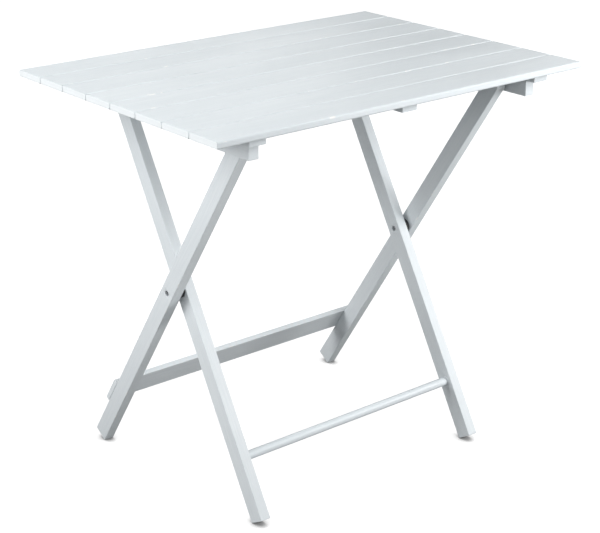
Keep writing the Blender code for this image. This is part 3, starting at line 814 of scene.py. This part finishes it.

# %% [markdown]
# ### Metal and nylon
#
# The hardware is zinc-plated. Plating is a metal with a milky, patchy sheen, so both its colour
# and its roughness follow a cloudy noise, and a very stretched noise adds tool marks. The
# spacers are moulded nylon, with the fine pitted skin of a spark-eroded mould. Their near-black is
# partly the nylon's own colour and partly painted shade for the deep gap where the legs cross.

# %% Zinc and nylon
def plated(name, bright, dull, shine):
    """Plated steel: cloudy patches between two tones, and fine tool marks as relief."""
    material, tree, shader = new_material(name)
    shader.inputs["Metallic"].default_value = 1.0
    place = add_node(tree, "ShaderNodeTexCoord").outputs["Object"]
    clouds = band(tree, stretched_noise(tree, place, (420, 420, 420), 4), 0.35, 0.65)
    tool_marks = stretched_noise(tree, place, (300, 2600, 2600), 2)
    drive(tree, shader, mix_colours(tree, clouds, bright, dull),
          band(tree, clouds, 0.0, 1.0, shine, shine + 0.18), tool_marks, 0.6, 0.00004)
    return material


def moulded(name, colour, worn, shine):
    """Moulded nylon: a pitted skin and a slightly greyer bloom."""
    material, tree, shader = new_material(name)
    place = add_node(tree, "ShaderNodeTexCoord").outputs["Object"]
    bloom = band(tree, stretched_noise(tree, place, (160, 160, 160), 4), 0.4, 0.7)
    pits = stretched_noise(tree, place, (2200, 2200, 2200), 2)
    drive(tree, shader, mix_colours(tree, bloom, colour, worn),
          band(tree, bloom, 0.0, 1.0, shine, shine + 0.12), pits, 0.5, 0.00005)
    return material


bolt_zinc = plated("bolt_zinc", (0.52, 0.54, 0.57), (0.33, 0.34, 0.36), 0.30)
screw_zinc = plated("screw_zinc", (0.66, 0.66, 0.64), (0.46, 0.46, 0.44), 0.34)
# The spacers' near-black is partly painted shade, standing in for the dark gap between the crossed legs.
black_nylon = moulded("black_nylon", (0.018, 0.018, 0.020), (0.045, 0.045, 0.048), 0.48)
paint_on([piece for piece in hardware if "spacer" not in piece.name], bolt_zinc)
paint_on([piece for piece in hardware if "spacer" in piece.name], black_nylon)
paint_on(screws, screw_zinc)
print("finishes:", sorted(material.name for material in bpy.data.materials if material.users))

# %% [markdown]
# ## The studio floor
#
# The studio is a white sweep: floor, a gentle curve, and wall in one sheet, so no corner shows.
# Its height is a function of the distance from the table. The cloth itself is grey, because a
# white one would throw light up and fill the shadows under the table. A glow that only the
# camera sees burns it out to white, as strong lights on a backdrop do. It is weaker close to the
# table, and goes out where an Ambient Occlusion node finds the floor covered, right under a foot.

# %% Studio sweep
SWEEP_RADIUS, SWEEP_START, SWEEP_HEIGHT = 14.0, 8.0, 3.0
SWEEP_RINGS, SWEEP_SPOKES, SWEEP_HUB = 80, 96, 0.01
CLOTH_GREY = 0.28
GLOW_FROM, GLOW_TO, GLOW_NEAR, GLOW_FAR = 0.5, 3.0, 0.85, 1.0
COVER_REACH, COVERED, OPEN, COVERED_GLOW = 0.03, 0.30, 0.85, 0.05


def sweep_points():
    """Height(r) = H * (1 - sqrt(1 - q * q)), where q runs from 0 where the curve starts to 1 at the rim."""
    distance = np.linspace(SWEEP_HUB, SWEEP_RADIUS, SWEEP_RINGS)[:, None]
    angle = np.arange(SWEEP_SPOKES) * 2 * math.pi / SWEEP_SPOKES
    q = np.clip((distance - SWEEP_START) / (SWEEP_RADIUS - SWEEP_START), 0, 1)
    height = SWEEP_HEIGHT * (1 - np.sqrt(1 - q ** 2)) * np.ones(SWEEP_SPOKES)
    return np.stack([distance * np.cos(angle), distance * np.sin(angle), height], axis=-1).reshape(-1, 3)


floor_mesh = bpy.data.meshes.new("studio_floor")
floor_mesh.from_pydata(sweep_points().tolist(), [], ring_quads(SWEEP_RINGS, SWEEP_SPOKES)[:, ::-1].tolist()
                       + [list(range(SWEEP_SPOKES))])
floor_mesh.shade_smooth()
floor = bpy.data.objects.new("studio_floor", floor_mesh)
bpy.context.collection.objects.link(floor)

floor_cloth, cloth_tree, cloth_shader = new_material("floor_cloth")
cloth_shader.inputs["Base Color"].default_value = (CLOTH_GREY, CLOTH_GREY, CLOTH_GREY, 1.0)
for socket, value in (("Roughness", 0.9), ("Specular IOR Level", 0.0), ("Emission Strength", 1.0)):
    cloth_shader.inputs[socket].default_value = value
from_table = add_node(cloth_tree, "ShaderNodeVectorMath", operation="LENGTH")
cloth_tree.links.new(add_node(cloth_tree, "ShaderNodeTexCoord").outputs["Object"], from_table.inputs[0])
glow = arithmetic(cloth_tree, "MULTIPLY",
                  band(cloth_tree, from_table.outputs["Value"], GLOW_FROM, GLOW_TO, GLOW_NEAR, GLOW_FAR),
                  add_node(cloth_tree, "ShaderNodeLightPath").outputs["Is Camera Ray"])
openness = add_node(cloth_tree, "ShaderNodeAmbientOcclusion", sockets={"Distance": COVER_REACH})
glow = arithmetic(cloth_tree, "MULTIPLY", glow,
                  band(cloth_tree, openness.outputs["AO"], COVERED, OPEN, COVERED_GLOW, 1.0))
cloth_tree.links.new(glow, cloth_shader.inputs["Emission Color"])
paint_on([floor], floor_cloth)
print("floor", len(floor_mesh.vertices), "points")

# %% [markdown]
# ## The light
#
# Square softboxes stand round the table. Each is given by its bearing, its height angle, its
# distance, its size and its power. The low one on the left makes the legs' outer faces the
# brightest, and the nearer one above it makes them fade towards the feet. Two in front light the
# inner legs' fronts, and leave the outer legs' fronts, which lean down, in shade. A small near one
# at knee height on the right picks out the front edges there. The one overhead lights the slats.

# %% Softboxes
DOME_CENTRE = np.array([0.0, 0.0, 0.5])


def softbox(name, bearing, height, distance, size, power):
    """An area light that looks at the dome's middle. Bearing 0 is in front, and -90 on the left, both
    in degrees like the height."""
    bearing, height = math.radians(bearing), math.radians(height)
    outwards = np.array([math.sin(bearing) * math.cos(height), -math.cos(bearing) * math.cos(height),
                         math.sin(height)])
    light = bpy.data.lights.new(name, "AREA")
    light.shape, light.size, light.energy = "SQUARE", size, power
    lamp = bpy.data.objects.new(name, light)
    lamp.location = DOME_CENTRE + distance * outwards
    lamp.rotation_euler = (math.pi / 2 - height, 0.0, bearing)
    lamp.visible_camera = False
    bpy.context.collection.objects.link(lamp)
    return lamp


softboxes = [softbox(*settings) for settings in (
    ("left_low_softbox", -105, 15, 4.0, 1.8, 65),
    ("left_near_softbox", -105, 35, 2.5, 1.2, 24),
    ("front_left_softbox", -60, 20, 2.5, 1.2, 10),
    ("front_softbox", 0, 30, 4.0, 1.8, 48),
    ("front_right_softbox", 50, 30, 4.0, 1.8, 54),
    ("knee_softbox", 35, 8, 1.7, 0.5, 12),
    ("right_softbox", 110, 30, 4.0, 1.8, 34),
    ("back_softbox", 150, 20, 4.0, 1.8, 16),
    ("overhead_softbox", 0, 88, 4.0, 1.8, 33))]

studio_air = bpy.data.worlds.new("studio_air")
studio_air.use_nodes = True
air_tree = studio_air.node_tree
air_tree.links.new(add_node(air_tree, "ShaderNodeLightPath").outputs["Is Camera Ray"],
                   air_tree.nodes["Background"].inputs["Color"])
bpy.context.scene.world = studio_air
bpy.context.scene.view_settings.view_transform = "Standard"
print("lights:", {lamp.name: lamp.data.energy for lamp in softboxes})
